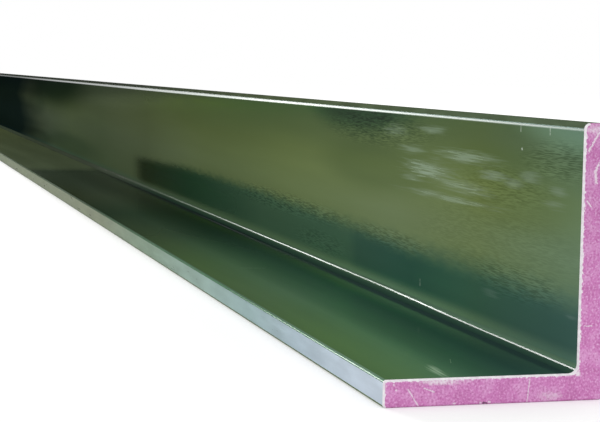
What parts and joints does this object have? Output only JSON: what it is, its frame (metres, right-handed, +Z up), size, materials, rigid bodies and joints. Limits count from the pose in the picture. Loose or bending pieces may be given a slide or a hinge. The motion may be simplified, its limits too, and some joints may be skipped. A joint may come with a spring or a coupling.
{
  "type": "aluminium angle bar",
  "caption": "Length of extruded aluminium angle with unequal legs, a small root fillet and square sawn, deburred ends, for framing, edging and brackets.",
  "frame": {"origin": "middle of the footprint, on the floor that the flat leg lies on", "axes": "+X along the bar to the sawn end that the picture shows, +Y out of the back of the upright leg, +Z up"},
  "size_m": [1.5, 0.05, 0.06],
  "materials": {
    "green_gloss_aluminium": "gloss"
  },
  "bodies": {
    "root": {"angle_bar": "green_gloss_aluminium"}
  },
  "joints": []
}
